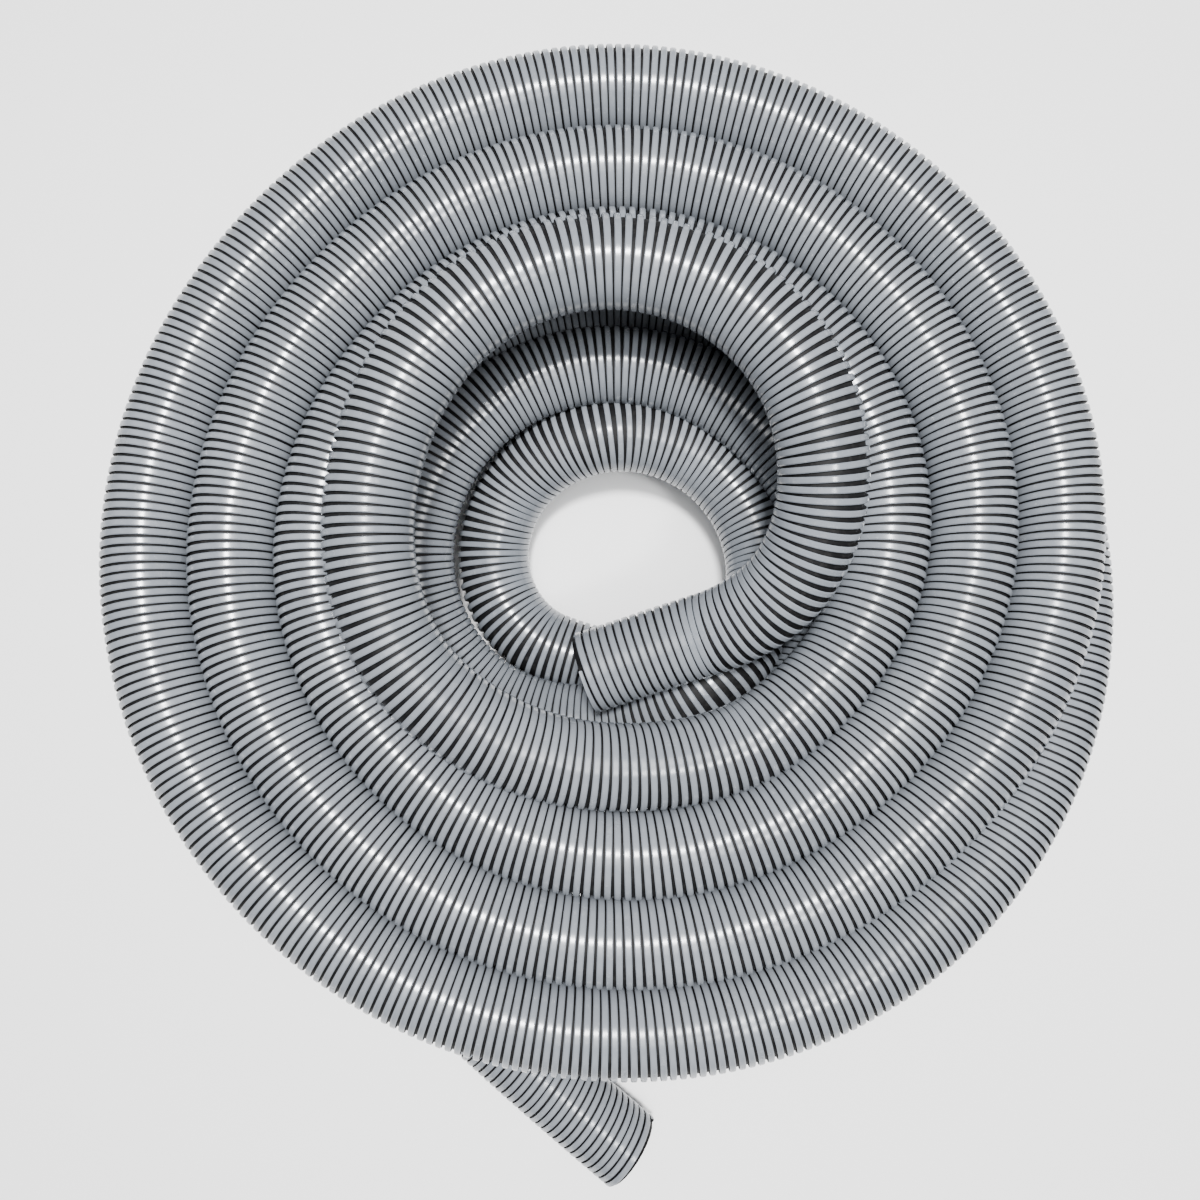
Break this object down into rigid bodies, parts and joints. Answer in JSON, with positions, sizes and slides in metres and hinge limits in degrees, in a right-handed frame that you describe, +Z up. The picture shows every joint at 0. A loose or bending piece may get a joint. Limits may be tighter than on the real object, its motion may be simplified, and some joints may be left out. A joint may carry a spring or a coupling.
{
  "type": "vacuum hose",
  "caption": "Long crush-proof vacuum hose with a grey rib wound round a black flexible web, coiled flat for storage, both ends cut square and bare.",
  "frame": {"origin": "centre of the coiled hose's bounding box, on the surface it lies on", "axes": "+Z up, through the flat of the coil; +Y along the coil's longer width, away from the outer end; -Z out of the face it rests on"},
  "size_m": [0.5469, 0.6318, 0.174],
  "materials": {
    "rib": "semi-gloss grey moulded plastic rib",
    "web": "matt black soft plastic web"
  },
  "bodies": {
    "root": {"coil_floor": "rib", "coil_middle": "rib", "coil_top": "rib", "outer_tail": "rib", "last_turn": "rib", "outer_end_web": "web", "outer_end_rib": "rib", "inner_end_web": "web", "inner_end_rib": "rib"}
  },
  "joints": []
}
